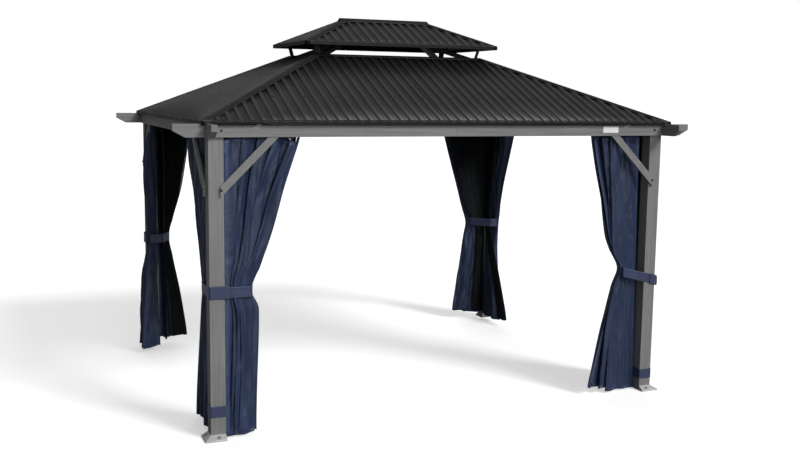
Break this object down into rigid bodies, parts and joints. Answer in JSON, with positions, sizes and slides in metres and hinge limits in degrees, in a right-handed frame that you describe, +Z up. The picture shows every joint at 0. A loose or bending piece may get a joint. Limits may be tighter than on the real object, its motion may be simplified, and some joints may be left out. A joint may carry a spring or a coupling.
{
  "type": "hardtop garden gazebo",
  "caption": "Open rectangular garden gazebo: square posts, tailed beams, ribbed metal hip roof with a raised vent roof, tied-back curtains and netting.",
  "frame": {"origin": "on the ground under the middle of the gazebo", "axes": "+X along the long side, to the right seen from the front; +Y to the back; +Z up"},
  "size_m": [3.934, 3.274, 2.884],
  "materials": {
    "wood_grain_metal": "matt grey wood-grain print on metal tube",
    "feet": "light silver paint",
    "roof_sheet": "satin charcoal coating on ribbed sheet",
    "roof_trim": "satin charcoal coating on folded strip",
    "dark_frame": "black powder coat",
    "track": "black powder coat",
    "curtain_cloth": "navy woven polyester",
    "netting": "black knitted mesh",
    "strap_cloth": "navy woven polyester, hemmed"
  },
  "bodies": {
    "root": {"foot_front_left": "feet", "post_front_left": "wood_grain_metal", "braces_front_left": "wood_grain_metal", "curtains_front_left": "curtain_cloth", "netting_front_left": "netting", "foot_front_right": "feet", "post_front_right": "wood_grain_metal", "braces_front_right": "wood_grain_metal", "curtains_front_right": "curtain_cloth", "netting_front_right": "netting", "foot_back_left": "feet", "post_back_left": "wood_grain_metal", "braces_back_left": "wood_grain_metal", "curtains_back_left": "curtain_cloth", "netting_back_left": "netting", "foot_back_right": "feet", "post_back_right": "wood_grain_metal", "braces_back_right": "wood_grain_metal", "curtains_back_right": "curtain_cloth", "netting_back_right": "netting", "front_beam": "wood_grain_metal", "back_beam": "wood_grain_metal", "left_beam": "wood_grain_metal", "right_beam": "wood_grain_metal", "lower_roof_front": "roof_sheet", "lower_roof_back": "roof_sheet", "lower_roof_left": "roof_sheet", "lower_roof_right": "roof_sheet", "upper_roof_front": "roof_sheet", "upper_roof_back": "roof_sheet", "upper_roof_left": "roof_sheet", "upper_roof_right": "roof_sheet", "lower_roof_caps": "roof_trim", "upper_hip_caps": "roof_trim", "ridge_cap": "roof_trim", "lower_eave_trim": "roof_trim", "upper_eave_trim": "roof_trim", "hip_rafters": "dark_frame", "mid_rafters": "dark_frame", "ridge_beams": "dark_frame", "vent_purlins": "dark_frame", "upper_hip_rafters": "dark_frame", "vent_struts": "dark_frame", "curtain_tracks": "track", "tieback_straps": "strap_cloth"}
  },
  "joints": []
}
